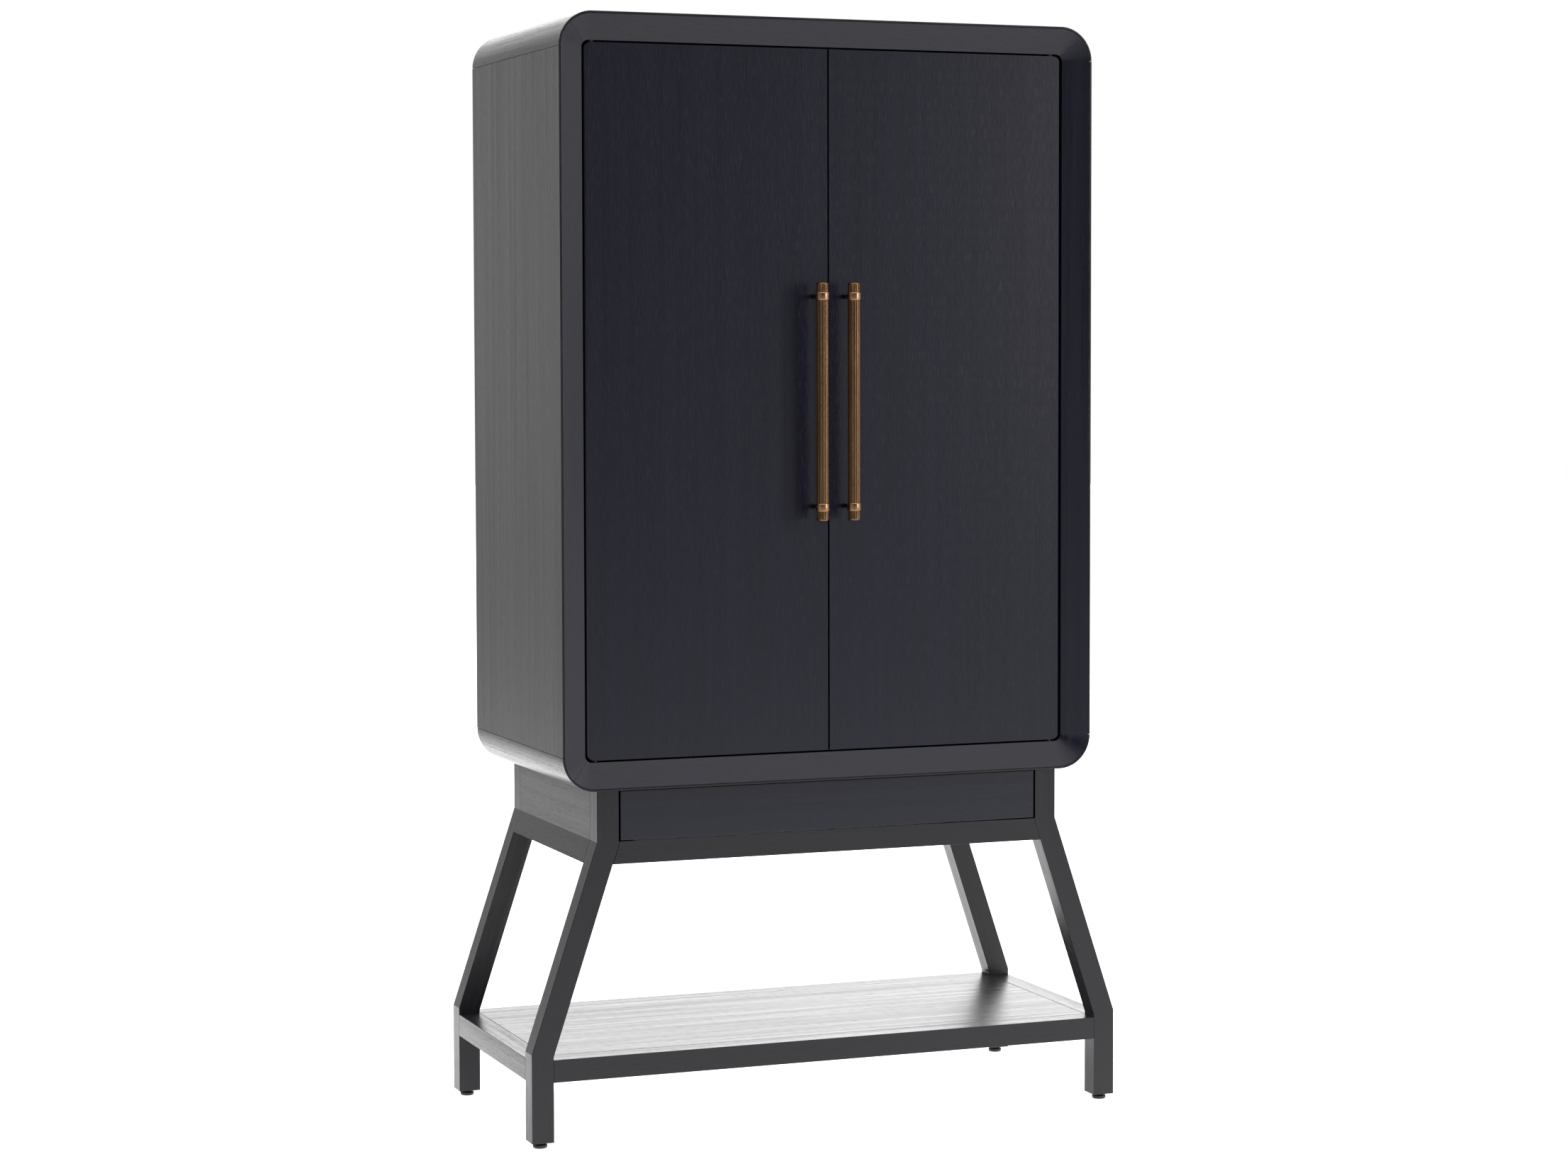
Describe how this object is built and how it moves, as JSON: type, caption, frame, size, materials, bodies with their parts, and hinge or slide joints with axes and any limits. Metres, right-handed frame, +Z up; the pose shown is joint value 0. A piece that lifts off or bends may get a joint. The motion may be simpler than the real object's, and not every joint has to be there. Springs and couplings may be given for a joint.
{
  "type": "apothecary cabinet",
  "caption": "Tall round-cornered two-door cabinet with bevelled frame and reeded bar pulls, on a splayed stand with a wide drawer and an open lower shelf.",
  "frame": {"origin": "centre of the bounding box in plan, at floor level under the glides", "axes": "+Z up; the doors and drawer face -Y; +X is to the right seen from the front"},
  "size_m": [1.068, 0.5407, 1.874],
  "materials": {
    "dark_wood": "navy charcoal stain under satin lacquer, straight open grain",
    "interior_wood": "same stain, flatter lacquer",
    "aged_brass": "antique brass, brushed, darker in the reeds",
    "dark_steel": "black oxide, satin",
    "hinge_brass": "satin machined brass",
    "glide_plastic": "black nylon"
  },
  "bodies": {
    "cabinet": {"side_panel_left": "dark_wood", "side_panel_right": "dark_wood", "top_panel": "dark_wood", "bottom_panel": "dark_wood", "corner_block_top_left": "dark_wood", "corner_block_top_right": "dark_wood", "corner_block_bottom_left": "dark_wood", "corner_block_bottom_right": "dark_wood", "back_panel": "interior_wood", "frame_stile_left": "dark_wood", "frame_stile_right": "dark_wood", "frame_rail_top": "dark_wood", "frame_rail_bottom": "dark_wood", "shelf_lower": "interior_wood", "shelf_middle": "interior_wood", "shelf_upper": "interior_wood", "shelf_pins": "hinge_brass", "hinge_case_leaves": "hinge_brass", "magnetic_catches": "dark_steel", "case_bolts": "dark_steel", "leg_front_left": "dark_wood", "leg_front_right": "dark_wood", "leg_back_left": "dark_wood", "leg_back_right": "dark_wood", "side_apron_left": "dark_wood", "side_apron_right": "dark_wood", "apron_rail_front": "dark_wood", "apron_back": "dark_wood", "drawer_runner_left": "interior_wood", "drawer_runner_right": "interior_wood", "stretcher_left": "dark_wood", "stretcher_right": "dark_wood", "stretcher_front": "dark_wood", "stretcher_back": "dark_wood", "lower_shelf": "dark_wood"},
    "door_left": {"door_left": "dark_wood", "hinge_leaves_left": "hinge_brass", "strike_plates_left": "hinge_brass", "handle_bar_left": "aged_brass", "handle_collars_left": "aged_brass", "handle_caps_left": "aged_brass", "handle_posts_left": "dark_steel", "handle_screws_left": "dark_steel"},
    "door_right": {"door_right": "dark_wood", "hinge_leaves_right": "hinge_brass", "strike_plates_right": "hinge_brass", "handle_bar_right": "aged_brass", "handle_collars_right": "aged_brass", "handle_caps_right": "aged_brass", "handle_posts_right": "dark_steel", "handle_screws_right": "dark_steel"},
    "drawer": {"drawer_front": "dark_wood", "drawer_side_left": "interior_wood", "drawer_side_right": "interior_wood", "drawer_back": "interior_wood", "drawer_bottom": "interior_wood"},
    "leveller_front_left": {"glide_front_left": "glide_plastic"},
    "leveller_front_right": {"glide_front_right": "glide_plastic"},
    "leveller_back_left": {"glide_back_left": "glide_plastic"},
    "leveller_back_right": {"glide_back_right": "glide_plastic"}
  },
  "joints": [
    {"name": "door_left_hinge", "type": "hinge", "parent": "cabinet", "child": "door_left", "pos_m": [-0.416, -0.20413, 1.233], "axis": [0, 0, -1], "range_deg": [0, 110]},
    {"name": "door_right_hinge", "type": "hinge", "parent": "cabinet", "child": "door_right", "pos_m": [0.416, -0.20413, 1.233], "axis": [0, 0, 1], "range_deg": [0, 110]},
    {"name": "drawer_slide", "type": "slide", "parent": "cabinet", "child": "drawer", "axis": [0, -1, 0], "range_m": [0, 0.32]},
    {"name": "leveller_front_left_turn", "type": "hinge", "parent": "cabinet", "child": "leveller_front_left", "pos_m": [-0.515, -0.20763, 0.005], "axis": [0, 0, 1], "continuous": true},
    {"name": "leveller_front_right_turn", "type": "hinge", "parent": "cabinet", "child": "leveller_front_right", "pos_m": [0.515, -0.20763, 0.005], "axis": [0, 0, 1], "continuous": true},
    {"name": "leveller_back_left_turn", "type": "hinge", "parent": "cabinet", "child": "leveller_back_left", "pos_m": [-0.515, 0.23237, 0.005], "axis": [0, 0, 1], "continuous": true},
    {"name": "leveller_back_right_turn", "type": "hinge", "parent": "cabinet", "child": "leveller_back_right", "pos_m": [0.515, 0.23237, 0.005], "axis": [0, 0, 1], "continuous": true}
  ]
}
